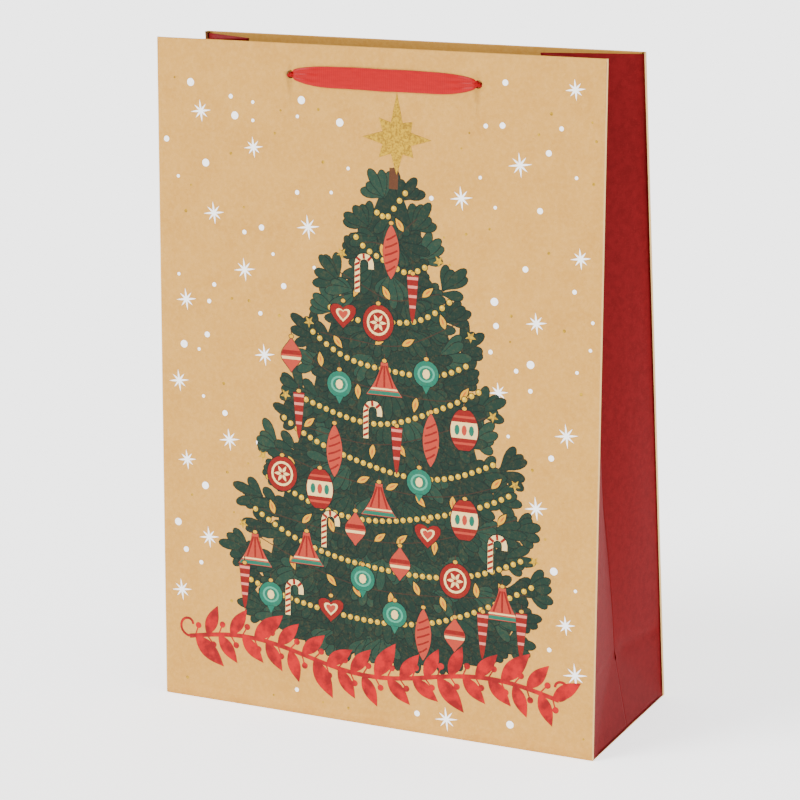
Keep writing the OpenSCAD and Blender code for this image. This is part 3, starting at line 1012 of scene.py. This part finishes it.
def freeForSnow(x, y, margin):  # clear of the tree, the star, the sprig and the ribbon
    inTree = treeArt["foot"] - 8 < y < treeArt["top"] + 12
    if inTree and abs(x - treeMiddle(y)) < treeHalfWidth(y) + margin:
        return False
    if math.hypot(x - star["at"][0], y - star["at"][1]) < star["room"] + margin * 0.3:
        return False
    sprigLow, sprigHigh = snow["sprigBand"]
    if sprigLow < y < sprigHigh + margin * 0.5:
        return False
    ribbonX, ribbonY = snow["ribbonAt"]
    wide, high = snow["ribbonRoom"]
    return not (abs(y - ribbonY) < high + margin * 0.4 and abs(x - ribbonX) < wide)


def drawSnow(chance):
    s = snow
    placed = [(x, y, s["flakeRoom"]) for x, y in snowflakes]
    for x, y in snowflakes:
        drawFlake(x, y, chance.uniform(*s["flake"]))
    for _ in range(s["tries"]):
        x = chance.uniform(-s["across"], s["across"])
        y = chance.uniform(s["low"], s["high"])
        gold = len(placed) % 5 in (1, 3)
        if len(placed) > s["most"] or not freeForSnow(x, y, s["margin"]):
            continue
        if any(math.hypot(x - a, y - b) < itsRoom + s["gap"] for a, b, itsRoom in placed):
            continue
        if gold:
            draw("gold", ring(x, y, chance.uniform(*s["gold"]), 1, 8))
        else:
            draw("white", ring(x, y, chance.choice(s["dots"]), 1, 14))
        placed.append((x, y, s["dotRoom"]))


def drawSprig():
    # a long leafy sprig with berries along the foot of the picture
    s = sprig

    def stem(share):
        wave = s["wave"] * math.sin(share * s["waveTurns"])
        return mix(*s["ends"], share), s["up"] + wave + mix(s["tilt"], -s["tilt"], share)

    path = [stem(k / 60) for k in range(61)]
    draw("red", stroke(path, s["stem"]))
    for k in range(s["leaves"]):
        share = (k + 0.5) / s["leaves"]
        x, y = stem(share)
        ahead = stem(share + 0.01)
        slope = math.atan2(ahead[1] - y, ahead[0] - x)
        side = 1 if k % 2 else -1
        swell = 1.25 if k % 5 == 0 else 1
        angle = slope + side * math.radians(s["splay"] + 8 * math.sin(k))
        length, width = s["leaf"]
        draw("red", leaf(x, y, angle, length * swell, width * swell, 12, 0.85))
        other = slope - side * math.radians(60)
        tip = (x + s["berryOut"] * math.cos(other), y + s["berryOut"] * math.sin(other))
        draw("red", stroke([(x, y), tip], 1.1))
        draw("red", ring(*tip, s["berry"], 1, 12))
    for end, turn in ((0, 1), (1, -1)):  # the stem curls up at both ends
        x, y = stem(end)
        curl = []
        for k in range(16):
            a = k * 0.3
            curl.append((x - turn * 9 * math.sin(a) * (1 - a / 7), y + 9 - 9 * math.cos(a) * (1 - a / 7)))
        draw("red", stroke(curl, 2))


def drawOrnaments():
    make = {"spindle": spindle, "icicle": icicle, "ring": ringBauble, "lantern": lantern, "drop": drop,
            "bell": bell, "heart": heart, "bauble": bauble, "cane": cane}
    for kind, x, y in ornaments:
        before = len(shapes)
        make[kind](x, y)
        for k in range(before, len(shapes)):
            inkName, outline = shapes[k]
            shapes[k] = inkName, scaled(outline, x, y, art["ornament"])


def drawSmallStars():
    for y in (352, 300, 244, 196, 142):
        for side in (-1, 1):
            x = treeMiddle(y) + side * (treeHalfWidth(y) + 6)
            outline = []
            for k in range(10):
                reach = 4.4 if k % 2 else 1.8
                outline.append((x + reach * math.sin(math.pi * k / 5), y + reach * math.cos(math.pi * k / 5)))
            draw("gold", outline)


def drawPicture():
    chance = random.Random(art["seed"])
    drawSnow(chance)
    drawTree(chance)
    drawGarlands(chance)
    drawOrnaments()
    drawSmallStars()
    drawSprig()


def flatten(layers):
    # cuts the overlapping shapes into one flat mesh, in which each triangle keeps the top shape's ink
    points = []
    faces = []
    for _, outline in layers:
        faces.append(list(range(len(points), len(points) + len(outline))))
        points += [Vector(p) for p in outline]
    corners, _, cells, _, _, owners = delaunay_2d_cdt(points, [], faces, 1, 1e-4)
    return corners, [(cell, max(owner)) for cell, owner in zip(cells, owners) if owner]


drawPicture()
corners, cells = flatten(shapes)
print("picture drawn:", len(shapes), "shapes,", len(cells), "triangles")
inks = {name: makeInk(name, colour) for name, colour in inkColours.items()}
inks["gold"] = goldFoil
inks["red"] = redFoil
inkOrder = list(inks)


def makePicture():
    mesh = bmesh.new()
    verts = [mesh.verts.new((p.x * mm, -art["lift"] * mm, p.y * mm)) for p in corners]
    for cell, owner in cells:
        face = mesh.faces.new([verts[k] for k in cell])
        face.material_index = inkOrder.index(shapes[owner][0])
    mesh.normal_update()
    bmesh.ops.reverse_faces(mesh, faces=[f for f in mesh.faces if f.normal.y > 0])
    bmesh.ops.dissolve_limit(
        mesh, angle_limit=0.02, verts=mesh.verts[:], edges=mesh.edges[:], delimit={"MATERIAL"})
    for which in ("front", "back"):
        printed = mesh.copy()
        bmesh.ops.transform(printed, matrix=panelPlace(which), verts=printed.verts)
        finishPiece(which + "Picture", printed, list(inks.values()), which, (), False)
    mesh.free()


def makeStar(which):
    # stamped in gold foil and embossed: eight points, the upright one longest, with a ridge to each point
    s = star
    mesh = bmesh.new()
    heart = Vector((s["at"][0], 0, s["at"][1])) * mm
    rim = []
    for k in range(16):
        a = math.pi * k / 8
        reach = s["waist"] if k % 2 else s["reach"][k // 2]
        rim.append(mesh.verts.new(heart + Vector((math.sin(a), 0, math.cos(a))) * reach * mm * s["spread"]))
    foot = mesh.faces.new(rim)
    raised = bmesh.ops.extrude_face_region(mesh, geom=[foot], use_keep_orig=True)["geom"]
    upper = [v for v in raised if isinstance(v, bmesh.types.BMVert)]
    bmesh.ops.scale(mesh, vec=[1 / s["spread"]] * 3, space=Matrix.Translation(-heart), verts=upper)
    bmesh.ops.translate(mesh, vec=(0, -s["edge"] * mm, 0), verts=upper)
    bmesh.ops.translate(mesh, vec=(0, -s["foot"] * mm, 0), verts=rim)
    top = [f for f in raised if isinstance(f, bmesh.types.BMFace)]
    ridge = bmesh.ops.poke(mesh, faces=top)["verts"]
    ridge[0].co = heart + Vector((0, -s["rise"] * mm, 0))
    bmesh.ops.transform(mesh, matrix=panelPlace(which), verts=mesh.verts)
    bmesh.ops.recalc_face_normals(mesh, faces=mesh.faces)
    finishPiece(which + "Star", mesh, goldFoil, which, (), False)


makePicture()
for which in ("front", "back"):
    makeStar(which)
print("pictures ready")

# The CAD's own pieces that keep their shape

cadPaint = {"base_front_flap": kraftPaper, "base_back_flap": kraftPaper, "base_card": greyCard,
            "front_top_card": greyCard, "back_top_card": greyCard, "base_left_flap": redPaper,
            "base_right_flap": redPaper, "side_seam_lap": redPaper}
for name, material in cadPaint.items():
    for slot in frame["nodes"][name].material_slots:
        slot.material = material
